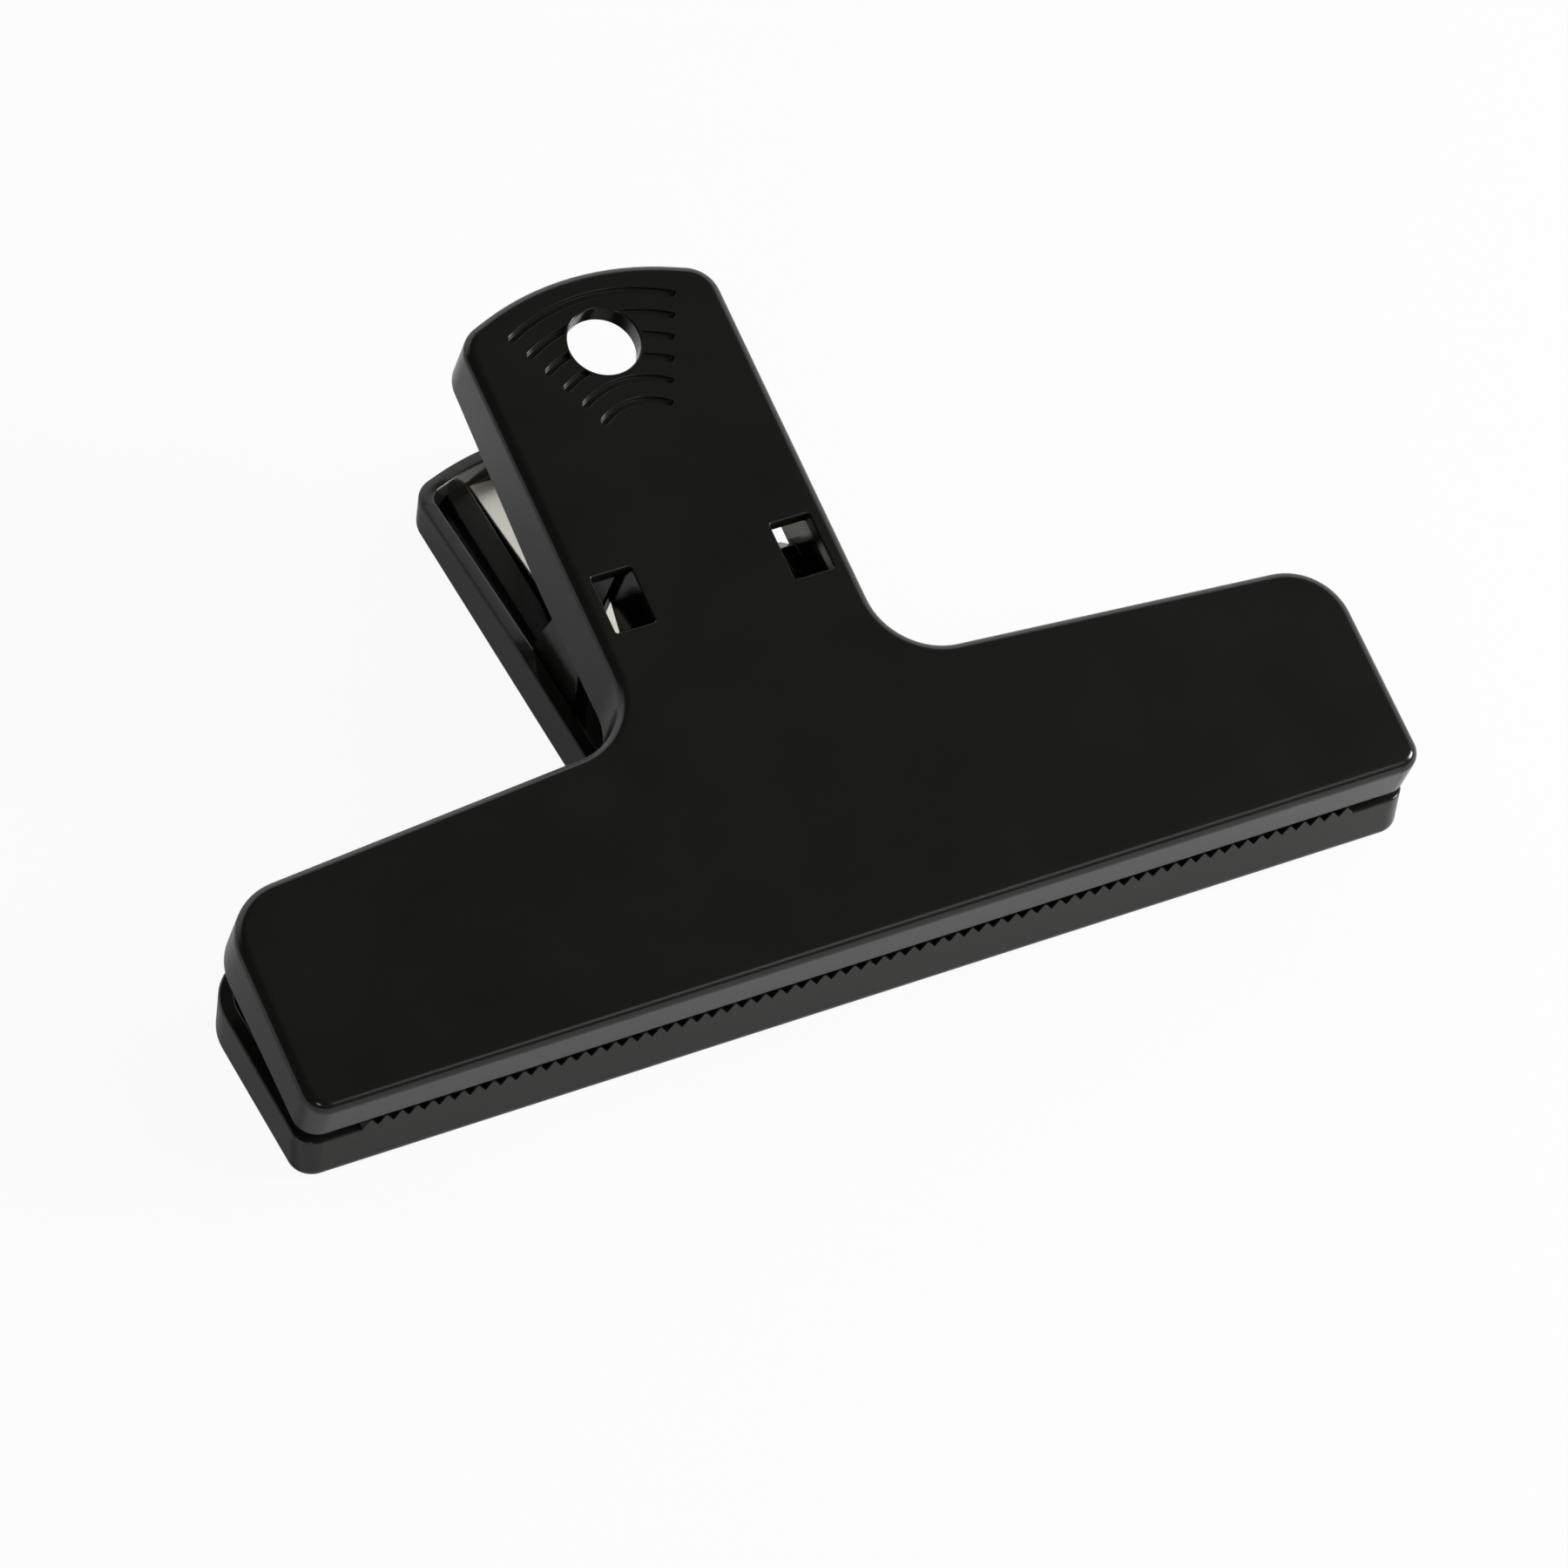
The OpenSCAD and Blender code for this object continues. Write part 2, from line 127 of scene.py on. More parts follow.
# Windows, hang hole and grip grooves
WINDOW_X = 9.45
WINDOW_W = 5.35
WINDOW_Y = 47
WINDOW_L = 7.9
WINDOW_R = 0.35
HOLE_Y = 84.3
HOLE_DEPTH = 2.9
RING_W = 2.2
GROOVE_COUNT = 6
GROOVE_W = 0.9
GROOVE_D = 0.5
GROOVE_PITCH = 3.05
GROOVE_R = 7.65
GROOVE_Y = 67.8
FAN_Y = 64.5
FAN_ANGLE = math.radians(24.9)
HOLE_LAND = 0.4

# Ribs, spring and magnets
RIB_T = 1.45
RIB_Y = 36
RIB_LOW = 8.5
RIB_HIGH = 12.1
RIB_END = 1.2
RIB_BEVEL = 3.4
RIB_DROP = 1.5
GUIDE_T = 1.15
GUIDE_HIGH = 15
GUIDE_LEVEL = 2
GUIDE_L = 19
GUIDE_LOW = 5
RAIL_W = 3.25
RAIL_H = 1.2
RAIL_GAP = 1.4
SPRING_W = 17.6
SPRING_T = 0.6
BEND_R = 2.3
BEND_FRONT = 5
KNEE_L = 17.5
KNEE_H = 2.35
UPPER_KNEE_L = 16.9
UPPER_KNEE_H = 1.9
KNEE_R = 20
SPRING_GAP = 0.3
STRIP_GAP = 0.35
SEAT_GAP = 0.05
MAGNET_L = 34
MAGNET_W = 14
MAGNET_T = 3
MAGNET_END = 14
MAGNET_X = JAW_W / 2 - MAGNET_END - MAGNET_L / 2
MAGNET_Y = 15.5
MAGNET_R = 1
MAGNET_GAP = 0.15
POCKET_WALL = 1.3

# Making: how far ribs are sunk into the plate, how far a cut overshoots, and what keeps two faces apart
ROOT = 0.5
PAST = 1
HAIR = 0.02

# Rounding of small edges; a cut's mouth starts at that many degrees of its rounding
SMALL_EDGE = 0.25
GROOVE_EDGE = 0.15
GROOVE_FLOOR_R = 0.2
POCKET_EDGE = 0.2
TRUNNION_EDGE = 0.15
TOOTH_EDGE = 0.08
STRIP_R = 0.14
STRIP_EDGE = 0.08
MAGNET_EDGE = 0.3
MOUTH_START = 20
BEVEL_SEGMENTS = 3
BEVEL_ANGLE = math.radians(40)
SHARP_ANGLE = math.radians(35)

# Steps that curves are cut into
ARC_STEPS = 16
RUN_STEPS = 24
CIRCLE_STEPS = 72
PIN_STEPS = 40
HEAD_STEPS = 24
GROOVE_STEPS = 24
GROOVE_END_STEPS = 8
GROOVE_FLOOR_STEPS = 3
KNEE_STEPS = 28
CORNER_STEPS = 6
EDGE_STEPS = 8
RIM_STEPS = 4
MOUTH_STEPS = 4

# Materials: the two colours that a noise mixes, how brushing stretches it, and the part of its range in use
PLASTIC_COLOURS = ((0.0107, 0.0107, 0.0088), (0.0132, 0.0132, 0.0109))
PLASTIC_IOR = 1.5
STEEL_COLOURS = ((0.9, 0.87, 0.77), (0.95, 0.92, 0.83))
FERRITE_COLOURS = ((0.022, 0.022, 0.024), (0.05, 0.05, 0.053))
BRUSHED = (1, 0.02, 0.02)
NOISE_LOW = 0.3
NOISE_HIGH = 0.7

# Sockets of a Mix node that mixes colours
MIX_FIRST = 6
MIX_SECOND = 7
MIX_RESULT = 2

# Studio: how bright the surroundings are and where they end, by a direction's height; floor in metres
BACKDROP_SIDE = (0.35, 0.94, 0)
BACKDROP_FULL = 0.7
BACKDROP_TOP = 0.7
BACKDROP_FADE = 0.06
WALLS = 0.06
WALLS_END = 0.5
CEILING = 0.04
CEILING_START = 0.8
FLOOR_HALF = 4
FLOOR_DROP = 0.02 * MM
FLOOR_GREY = 0.86
FLOOR_ROUGHNESS = 0.9
FLOOR_WHITE = (("Is Camera Ray", 0.94), ("Is Glossy Ray", 0.1), ("Is Transmission Ray", 0.5))

# Lamps: place and side in metres, watts, and whether glossy surfaces mirror the lamp
LAMPS = (
    ("key", (0.709, -0.24, 0.5), 0.75, 4.8, False),
    ("right_glint", (0.754, -0.274, 0.409), 0.25, 4.4, True),
    ("front_glint", (0.328, -0.668, 0.507), 0.3, 0.3, True),
    ("fill", (-0.35, -0.42, 0.34), 0.12, 0.2, True),
)

# Camera of the photograph, in millimetres and degrees, from a fit of the clip's outlines; clips in metres
CAMERA_PLACE = (-421.166, -643.402, 873.253)
CAMERA_AZIMUTH = -32.85
CAMERA_ELEVATION = 47.886
CAMERA_ROLL = 8.31
SENSOR_W = 36
LENS = 220
CLIP_START = 0.01
CLIP_END = 20

# Places that follow from the sizes
EAR_X = HALF_HANDLE - WALL - SIDE_GAP - EAR_T
LUG_X = EAR_X - SIDE_GAP - LUG_T
CHANNEL_X = SPRING_W / 2 + STRIP_GAP
END_WALL_Y = LOWER_LEN - CROWN_R + math.sqrt((CROWN_R - WALL) ** 2 - (SPRING_W / 2) ** 2)
shut_lip = LOWER_LIP + TOOTH_H + LIP_GAP
UPPER_PIVOT_Y = math.sqrt(PIVOT_Y ** 2 + (PIVOT_Z - shut_lip) ** 2 - (PIVOT_Z - UPPER_LIP) ** 2)

TO_LOWER = Matrix.Scale(MM, 4) @ Matrix.Translation((0, LIP_Y, 0))
TO_UPPER = (
    Matrix.Scale(MM, 4) @ Matrix.Translation(hinge) @ Matrix.Rotation(SHUT_ANGLE, 4, "X")
    @ Matrix.Translation((0, -UPPER_PIVOT_Y, PIVOT_Z)) @ Matrix.Scale(-1, 4, (0, 0, 1))
)


def heading(angle):
    return Vector((math.cos(angle), math.sin(angle)))


def quarter_turn(steps):
    return [math.radians(90 * i / steps) for i in range(steps + 1)]


def rounded_corner(before, here, after, inset=0, steps=ARC_STEPS):
    """Points of the corner here = (x, y, radius) between its neighbours, moved to the left by inset."""
    p, q, s = (Vector(c[:2]) for c in (before, here, after))
    u, v = (q - p).normalized(), (s - q).normalized()
    turn = math.atan2(u.x * v.y - u.y * v.x, u.dot(v))
    left_u, left_v = Vector((-u.y, u.x)), Vector((-v.y, v.x))
    tip = q + inset * (left_u + left_v) / (1 + left_u.dot(left_v))
    if not here[2]:
        return [tip]
    side = math.copysign(1, turn)
    radius = max(0, here[2] - side * inset)
    start = tip - u * radius * math.tan(abs(turn) / 2)
    centre = start + side * radius * left_u
    return [centre + Matrix.Rotation(turn * i / steps, 2) @ (start - centre) for i in range(steps + 1)]


def rounded_loop(corners, inset=0, run_steps=1, steps=ARC_STEPS):
    """Closed outline through rounded corners; each straight run is cut into equal steps."""
    count = len(corners)
    arcs = [
        rounded_corner(corners[i - 1], corners[i], corners[(i + 1) % count], inset, steps)
        for i in range(count)
    ]
    loop = []
    for i, arc in enumerate(arcs):
        a, b = arc[-1], arcs[(i + 1) % count][0]
        loop += arc + [a.lerp(b, k / run_steps) for k in range(1, run_steps)]
    return loop


def rounded_path(corners, inset=0, steps=ARC_STEPS):
    """Open line through rounded corners, moved to the left by inset."""
    first, last = (Vector(c[:2]) for c in (corners[0], corners[-1]))
    u = (Vector(corners[1][:2]) - first).normalized()
    v = (last - Vector(corners[-2][:2])).normalized()
    line = [first + inset * Vector((-u.y, u.x))]
    for before, here, after in zip(corners, corners[1:], corners[2:]):
        line += rounded_corner(before, here, after, inset, steps)
    return line + [last + inset * Vector((-v.y, v.x))]


def lever_outline(length, inset=0):
    peak = length + CROWN_R * (1 / math.cos(CROWN_SLOPE) - 1)
    knee = peak - HALF_HANDLE * math.tan(CROWN_SLOPE)
    right = [
        (JAW_W / 2, 0, LIP_CORNER_R), (JAW_W / 2, JAW_END, SHOULDER_R),
        (HALF_HANDLE, NECK_Y, NECK_R), (HALF_HANDLE, knee, HANDLE_CORNER_R),
    ]
    left = [(-x, y, r) for x, y, r in reversed(right)]
    return rounded_loop(right + [(0, peak, CROWN_R)] + left, inset, RUN_STEPS)


def mesh_object(bm, name):
    bmesh.ops.recalc_face_normals(bm, faces=bm.faces)
    mesh = bpy.data.meshes.new(name)
    bm.to_mesh(mesh)
    bm.free()
    made = bpy.data.objects.new(name, mesh)
    bpy.context.scene.collection.objects.link(made)
    return made


def loft(rings, name="tool"):
    """Closed mesh through rings of equally many points."""
    bm = bmesh.new()
    loops = [[bm.verts.new(p) for p in ring] for ring in rings]
    count = len(loops[0])
    for a, b in zip(loops, loops[1:]):
        for i in range(count):
            j = (i + 1) % count
            bm.faces.new((a[i], a[j], b[j], b[i]))
    bm.faces.new(loops[0])
    bm.faces.new(loops[-1])
    return mesh_object(bm, name)


def bake(made):
    """Applies the object's modifiers to its mesh."""
    bpy.context.view_layer.update()
    evaluated = made.evaluated_get(bpy.context.evaluated_depsgraph_get())
    mesh = bpy.data.meshes.new_from_object(evaluated)
    made.modifiers.clear()
    made.data = mesh
    return made


def joined(tools):
    """One object from several that don't touch each other."""
    bm = bmesh.new()
    for tool in tools:
        bm.from_mesh(tool.data)
        bpy.data.objects.remove(tool)
    return mesh_object(bm, "tools")


def combine(target, operation, tools):
    tool = joined(tools)
    modifier = target.modifiers.new("combine", "BOOLEAN")
    modifier.operation = operation
    modifier.solver = "EXACT"
    modifier.object = tool
    bake(target)
    bpy.data.objects.remove(tool)
    return target


def softened(made, width=SMALL_EDGE):
    """Rounds the object's sharp edges."""
    modifier = made.modifiers.new("edges", "BEVEL")
    modifier.width = width
    modifier.segments = BEVEL_SEGMENTS
    modifier.limit_method = "ANGLE"
    modifier.angle_limit = BEVEL_ANGLE
    return bake(made)


def along_x(profile, x0, x1):
    """Profile of (y, depth) points, extruded from x0 to x1."""
    return loft([[(x, p[0], p[1]) for p in profile] for x in (x0, x1)])


def both_sides(make, x0, x1):
    return [make(x0, x1), make(-x1, -x0)]


def levels(plan, rings):
    """Upright solid: plan(grow) gives its outline grown by a margin, and rings are (grow, depth) pairs."""
    return loft([[(p[0], p[1], depth) for p in plan(grow)] for grow, depth in rings])


def opened_edge(radius):
    """Rings of a cut's rounded mouth, from above the face down to where the mouth ends."""
    span = 90 - MOUTH_START
    angles = [math.radians(MOUTH_START + span * i / MOUTH_STEPS) for i in range(MOUTH_STEPS + 1)]
    mouth = [(radius * (1 - math.sin(a)), radius * (1 - math.cos(a))) for a in angles]
    return [(mouth[0][0], -PAST)] + mouth


def circle(centre, radius, steps=CIRCLE_STEPS):
    rays = [heading(math.tau * i / steps) for i in range(steps)]
    return lambda grow: [Vector(centre) + (radius + grow) * ray for ray in rays]


def rectangle(centre, half_x, half_y, radius):
    def plan(grow):
        x, y, r = half_x + grow, half_y + grow, radius + grow
        signs = ((-1, -1), (1, -1), (1, 1), (-1, 1))
        corners = [(centre[0] + a * x, centre[1] + b * y, r) for a, b in signs]
        return rounded_loop(corners, steps=CORNER_STEPS)

    return plan


def tray(length, rim, name):
    """T-shaped tray: plate with a rounded edge, and a skirt up to the rim line of (y, depth) points."""
    rim_y, rim_depth = (np.array([p[k] for p in rim]) for k in (0, 1))
    quarter = quarter_turn(RIM_STEPS)

    def level_ring(inset, depth):
        return [(p.x, p.y, depth) for p in lever_outline(length, inset)]

    def rim_ring(inset, below):
        plan = lever_outline(length, inset)
        depths = np.interp([p.y for p in plan], rim_y, rim_depth) - below
        return [(p.x, p.y, d) for p, d in zip(plan, depths)]

    edge = quarter_turn(EDGE_STEPS)
    rings = [level_ring(EDGE_R * (1 - math.sin(a)), EDGE_R * (1 - math.cos(a))) for a in edge]
    rounding = [(RIM_EDGE_R * (1 - math.cos(a)), RIM_EDGE_R * (1 - math.sin(a))) for a in quarter]
    rings += [rim_ring(inset, below) for inset, below in rounding]
    rings += [rim_ring(WALL - inset, below) for inset, below in reversed(rounding)]
    rings += [
        level_ring(WALL + FLOOR_R * (1 - math.cos(a)), PLATE + FLOOR_R * (1 - math.sin(a))) for a in quarter
    ]
    return loft(rings, name)


def rim_line(length, lip, bends, end):
    line = [(-PAST, lip, 0), (0, lip, 0)] + bends + [(length, end, 0), (length + PAST, end, 0)]
    return rounded_path(line)


def groove(radius):
    """Tool for one arched groove with round ends on the fan's sides."""
    apex = GROOVE_Y - FAN_Y
    half = FAN_ANGLE + math.asin(apex * math.sin(FAN_ANGLE) / radius)
    right, left = math.pi / 2 - half, math.pi / 2 + half
    arc = [right + (left - right) * i / GROOVE_STEPS for i in range(GROOVE_STEPS + 1)]
    cap = [math.pi * i / GROOVE_END_STEPS for i in range(1, GROOVE_END_STEPS)]
    centre = Vector((0, GROOVE_Y))

    def plan(grow):
        h = GROOVE_W / 2 + grow
        loop = [(radius + h) * heading(a) for a in arc]
        loop += [radius * heading(left) + h * heading(left + a) for a in cap]
        loop += [(radius - h) * heading(a) for a in reversed(arc)]
        loop += [radius * heading(right) + h * heading(right + math.pi + a) for a in cap]
        return [centre + p for p in loop]

    floor = [
        (-GROOVE_FLOOR_R * (1 - math.cos(a)), GROOVE_D - GROOVE_FLOOR_R * (1 - math.sin(a)))
        for a in quarter_turn(GROOVE_FLOOR_STEPS)
    ]
    return levels(plan, opened_edge(GROOVE_EDGE) + floor)


def tangent_point(p, centre, radius, side):
    v = Vector(centre) - Vector(p)
    turn = math.atan2(v.y, v.x) + side * math.asin(radius / v.length)
    return Vector(p) + math.sqrt(v.length_squared - radius ** 2) * heading(turn)


def round_head(centre, radius, start, end):
    """Arc round a centre from one point to another, by rising angles."""
    a = math.atan2(start[1] - centre[1], start[0] - centre[0])
    b = math.atan2(end[1] - centre[1], end[0] - centre[0])
    sweep = (b - a) % math.tau
    angles = [a + sweep * i / HEAD_STEPS for i in range(HEAD_STEPS + 1)]
    return [Vector(centre) + radius * heading(angle) for angle in angles]


def lug(x0, x1):
    eye = (UPPER_PIVOT_Y, PIVOT_Z)
    rear, foot = WINDOW_Y - HAIR, WINDOW_Y - LUG_FOOT
    start = tangent_point((rear, LUG_ELBOW), eye, EYE_R, -1)
    end = tangent_point((foot, LUG_ELBOW), eye, EYE_R, 1)
    profile = [(foot, PLATE - ROOT), (rear, PLATE - ROOT), (rear, LUG_ELBOW)]
    profile += round_head(eye, EYE_R, start, end) + [(foot, LUG_ELBOW)]
    return softened(along_x(profile, x0, x1))


def rib(x0, x1):
    end = UPPER_PIVOT_Y + RIB_END
    profile = [
        (RIB_Y, PLATE - ROOT), (RIB_Y, RIB_LOW), (WINDOW_Y, RIB_HIGH), (end - RIB_BEVEL, RIB_HIGH),
        (end, RIB_HIGH - RIB_DROP), (end, PLATE - ROOT),
    ]
    return softened(along_x(profile, x0, x1))


def guide(x0, x1):
    start = UPPER_PIVOT_Y + RIB_END
    profile = [
        (start - ROOT, PLATE - ROOT), (start - ROOT, GUIDE_HIGH - ROOT), (start, GUIDE_HIGH),
        (start + GUIDE_LEVEL, GUIDE_HIGH), (start + GUIDE_L, GUIDE_LOW), (start + GUIDE_L, PLATE - ROOT),
    ]
    return softened(along_x(profile, x0, x1))


def eye_bore(x0, x1):
    bore = circle((UPPER_PIVOT_Y, PIVOT_Z), TRUNNION_R + RUN_GAP, PIN_STEPS)
    return along_x(bore(0), x0, x1)


def window(x0, x1):
    centre = ((x0 + x1) / 2, WINDOW_Y + WINDOW_L / 2)
    plan = rectangle(centre, WINDOW_W / 2, WINDOW_L / 2, WINDOW_R)
    return levels(plan, opened_edge(SMALL_EDGE) + [(0, PLATE + PAST)])


def upper_lever():
    made = tray(UPPER_LEN, rim_line(UPPER_LEN, UPPER_LIP, [
        (JAW_END, UPPER_SHOULDER, RIM_BEND_R), (NECK_Y + SIDE_START, UPPER_SIDE, RIM_BEND_R),
        (PIVOT_Y + SIDE_END, UPPER_SIDE, RIM_BEND_R),
    ], UPPER_END), "upper_lever_shell")
    hole = (0, HOLE_Y)
    ring = [(0, PLATE - ROOT), (0, HOLE_DEPTH - SMALL_EDGE), (-SMALL_EDGE, HOLE_DEPTH)]
    combine(made, "UNION", [levels(circle(hole, HOLE_R + RING_W), ring)]
            + both_sides(lug, LUG_X, LUG_X + LUG_T) + both_sides(rib, WINDOW_X - RIB_T, WINDOW_X))
    combine(made, "UNION", both_sides(guide, CHANNEL_X, CHANNEL_X + GUIDE_T))
    grooves = joined([groove(GROOVE_R + i * GROOVE_PITCH) for i in range(GROOVE_COUNT)])
    land = levels(circle(hole, HOLE_R + HOLE_LAND), [(0, -2 * PAST), (0, PLATE)])
    combine(grooves, "DIFFERENCE", [land])
    drilled = levels(circle(hole, HOLE_R), opened_edge(SMALL_EDGE) + [(0, HOLE_DEPTH + PAST)])
    return combine(made, "DIFFERENCE", [grooves, drilled]
                   + both_sides(window, WINDOW_X, WINDOW_X + WINDOW_W)
                   + both_sides(eye_bore, LUG_X - PAST, LUG_X + LUG_T + PAST))


def teeth():
    """Zigzag rack along the lower lip, with narrow flats on the tips."""
    count = int(TOOTH_ROW // TOOTH_PITCH)
    start = -count * TOOTH_PITCH / 2
    top = LOWER_LIP + TOOTH_H
    line = [(start, LOWER_LIP - 2 * ROOT)]
    for i in range(count):
        x = start + i * TOOTH_PITCH
        tip = x + TOOTH_PITCH / 2
        line += [(x, LOWER_LIP), (tip - TOOTH_FLAT, top), (tip + TOOTH_FLAT, top)]
    line += [(-start, LOWER_LIP), (-start, LOWER_LIP - 2 * ROOT)]
    return softened(loft([[(x, y, d) for x, d in line] for y in (HAIR, WALL - HAIR)]), TOOTH_EDGE)


def ear(x0, x1):
    """Ear that carries a trunnion: a foot under a wider head."""
    front, head, rear = PIVOT_Y - EAR_FRONT, PIVOT_Y - EAR_HEAD, PIVOT_Y + EAR_REAR
    top = PIVOT_Z + EAR_TOP
    profile = rounded_loop([
        (front, PLATE - ROOT, 0), (rear, PLATE - ROOT, 0), (rear, EAR_FOOT, EAR_R),
        (PIVOT_Y + EAR_BACK, PIVOT_Z + EAR_SHOULDER, EAR_CORNER_R),
        (head + EAR_CREST, top, EAR_CORNER_R), (head, top, EAR_CORNER_R),
        (head, PIVOT_Z, EAR_CORNER_R), (front, PIVOT_Z - (front - head), EAR_CORNER_R),
    ])
    return softened(along_x(profile, x0, x1))


def trunnion(x0, x1):
    pin = circle((PIVOT_Y, PIVOT_Z), TRUNNION_R, PIN_STEPS)
    return softened(along_x(pin(0), x0, x1), TRUNNION_EDGE)


def rail(x0, x1):
    start = PIVOT_Y + EAR_REAR + RAIL_GAP
    end = END_WALL_Y + ROOT
    top = PLATE + RAIL_H
    profile = [(start, PLATE - ROOT), (start, top), (end, top), (end, PLATE - ROOT)]
    return softened(along_x(profile, x0, x1))


def magnet_plan(x0, x1):
    return rectangle(((x0 + x1) / 2, MAGNET_Y), MAGNET_L / 2, MAGNET_W / 2, MAGNET_R)


def pocket(x0, x1):
    margin = MAGNET_GAP + POCKET_WALL
    top = MAGNET_T + POCKET_WALL
    rings = [(margin, PLATE - ROOT), (margin, top - RIM_EDGE_R), (margin - RIM_EDGE_R, top)]
    return levels(magnet_plan(x0, x1), rings)


def pocket_cut(x0, x1):
    flare = [(grow + MAGNET_GAP, depth) for grow, depth in opened_edge(POCKET_EDGE)]
    return levels(magnet_plan(x0, x1), flare + [(MAGNET_GAP, MAGNET_T)])


def lower_lever():
    made = tray(LOWER_LEN, rim_line(LOWER_LEN, LOWER_LIP, [
        (NECK_Y + SIDE_START, LOWER_SIDE, RIM_BEND_R), (PIVOT_Y + SIDE_END, LOWER_SIDE, RIM_BEND_R),
    ], LOWER_END), "lower_lever_shell")
    magnet_x = (MAGNET_X - MAGNET_L / 2, MAGNET_X + MAGNET_L / 2)
    combine(made, "UNION", [teeth()] + both_sides(rail, CHANNEL_X, CHANNEL_X + RAIL_W)
            + both_sides(ear, EAR_X, EAR_X + EAR_T) + both_sides(pocket, *magnet_x))
    combine(made, "UNION", both_sides(trunnion, LUG_X, EAR_X + ROOT))
    return combine(made, "DIFFERENCE", both_sides(pocket_cut, *magnet_x))


def from_upper(y, depth):
    """Place of a point of the upper lever's side view in the lower's."""
    arm = Matrix.Rotation(SHUT_ANGLE, 2) @ Vector((y - UPPER_PIVOT_Y, PIVOT_Z - depth))
    return PIVOT_Y + arm.x, PIVOT_Z + arm.y


def leaf_spring():
    """Bent strip with rounded edges, swept along its middle line."""
    middle = PLATE + SPRING_T / 2
    apex = Vector((PIVOT_Y, PIVOT_Z)) - BEND_FRONT * heading(SHUT_ANGLE / 2)
    line = [
        (END_WALL_Y - SPRING_GAP, middle + SEAT_GAP, 0),
        (PIVOT_Y + KNEE_L, PLATE + KNEE_H, KNEE_R),
        (apex.x, apex.y, BEND_R),
        (*from_upper(UPPER_PIVOT_Y + UPPER_KNEE_L, middle + UPPER_KNEE_H), KNEE_R),
        (*from_upper(HOLE_Y - HOLE_R - RING_W - 2 * SPRING_GAP, middle + SPRING_GAP), 0),
    ]
    section = rectangle((0, 0), SPRING_W / 2, SPRING_T / 2, STRIP_R)(0)
    rows = [rounded_path(line, inset=p.y, steps=KNEE_STEPS) for p in section]
    rings = [[(p.x, *row[i]) for p, row in zip(section, rows)] for i in range(len(rows[0]))]
    return softened(loft(rings, "leaf_spring_strip"), STRIP_EDGE)


def finished(made, matrix, material):
    """Sets the piece in place, gives it its material and shades its curves smooth and its flats flat."""
    made.data.transform(matrix)
    if matrix.determinant() < 0:
        made.data.flip_normals()
    made.data.materials.clear()
    made.data.materials.append(material)
    made.data.shade_smooth()
    made.data.set_sharp_from_angle(angle=SHARP_ANGLE)
    weighted = made.modifiers.new("normals", "WEIGHTED_NORMAL")
    weighted.keep_sharp = True
    return made


class Nodes:
    """A node material, built up around its Principled shader."""

    def __init__(self, name):
        self.material = bpy.data.materials.new(name)
        self.material.use_nodes = True
        self.tree = self.material.node_tree
        self.shader = self.tree.nodes["Principled BSDF"]
        self.place = self.add("ShaderNodeTexCoord").outputs["Object"]

    def add(self, kind, **settings):
        node = self.tree.nodes.new(kind)
        for key, value in settings.items():
            setattr(node, key, value)
        return node

    def link(self, out, into):
        self.tree.links.new(out, into)

    def noise(self, grain, detail=2, stretch=(1, 1, 1)):
        """Noise whose grains are about that many metres wide."""
        mapping = self.add("ShaderNodeMapping")
        mapping.inputs["Scale"].default_value = stretch
        self.link(self.place, mapping.inputs["Vector"])
        node = self.add("ShaderNodeTexNoise")
        node.inputs["Scale"].default_value = 1 / grain
        node.inputs["Detail"].default_value = detail
        self.link(mapping.outputs[0], node.inputs["Vector"])
        return node.outputs["Fac"]

    def spread(self, value, low, high, into):
        """Maps the used part of a noise's range to low..high."""
        node = self.add("ShaderNodeMapRange")
        node.inputs["From Min"].default_value = NOISE_LOW
        node.inputs["From Max"].default_value = NOISE_HIGH
        node.inputs["To Min"].default_value = low
        node.inputs["To Max"].default_value = high
        self.link(value, node.inputs["Value"])
        self.link(node.outputs[0], into)

    def colours(self, value, first, second):
        node = self.add("ShaderNodeMix", data_type="RGBA")
        self.spread(value, 0, 1, node.inputs["Factor"])
        node.inputs[MIX_FIRST].default_value = (*first, 1)
        node.inputs[MIX_SECOND].default_value = (*second, 1)
        self.link(node.outputs[MIX_RESULT], self.shader.inputs["Base Color"])

    def roughness(self, value, least, most):
        self.spread(value, least, most, self.shader.inputs["Roughness"])

    def bump(self, value, height, after=None):
        node = self.add("ShaderNodeBump")
        node.inputs["Distance"].default_value = height
        self.link(value, node.inputs["Height"])
        if after:
            self.link(after.outputs[0], node.inputs["Normal"])
        self.link(node.outputs[0], self.shader.inputs["Normal"])
        return node


def black_plastic():
    n = Nodes("satin_black_plastic")
    n.colours(n.noise(grain=0.012, detail=4), *PLASTIC_COLOURS)
    n.roughness(n.noise(grain=0.0011, detail=3), least=0.15, most=0.18)
    fine = n.bump(n.noise(grain=0.00035), height=0.0000014)
    n.bump(n.noise(grain=0.0022), height=0.000004, after=fine)
    n.shader.inputs["IOR"].default_value = PLASTIC_IOR
    return n.material


def plated_steel():
    n = Nodes("plated_spring_steel")
    n.colours(n.noise(grain=0.004, detail=3), *STEEL_COLOURS)
    n.roughness(n.noise(grain=0.0003, detail=3, stretch=BRUSHED), least=0.42, most=0.48)
    n.bump(n.noise(grain=0.0002, stretch=BRUSHED), height=0.000003)
    n.shader.inputs["Metallic"].default_value = 1
    return n.material


def sintered_ferrite():
    n = Nodes("sintered_ferrite")
    n.colours(n.noise(grain=0.0016, detail=5), *FERRITE_COLOURS)
    n.roughness(n.noise(grain=0.0009, detail=3), least=0.5, most=0.75)
    n.bump(n.noise(grain=0.0005, detail=5), height=0.00003)
    return n.material


